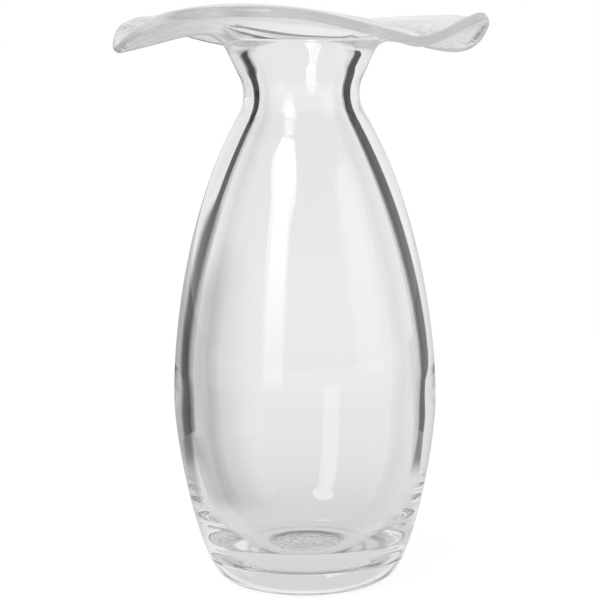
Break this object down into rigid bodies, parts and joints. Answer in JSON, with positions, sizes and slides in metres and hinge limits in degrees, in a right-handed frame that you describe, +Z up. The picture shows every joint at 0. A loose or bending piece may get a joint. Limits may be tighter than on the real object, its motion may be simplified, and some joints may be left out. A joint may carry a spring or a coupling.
{
  "type": "vase",
  "caption": "Clear blown glass flower vase with a thick foot, a pear-shaped body, a narrow neck and a wide wavy collar.",
  "frame": {"origin": "centre of the face that the vase stands on", "axes": "+Z up along the axis of the vase; -Y towards the viewer of the picture; +X to the viewer's right"},
  "size_m": [0.14, 0.14, 0.22],
  "materials": {
    "clear_glass": "fire-polished, smooth and colourless"
  },
  "bodies": {
    "root": {"foot": "clear_glass", "body": "clear_glass", "neck": "clear_glass", "collar": "clear_glass"}
  },
  "joints": []
}
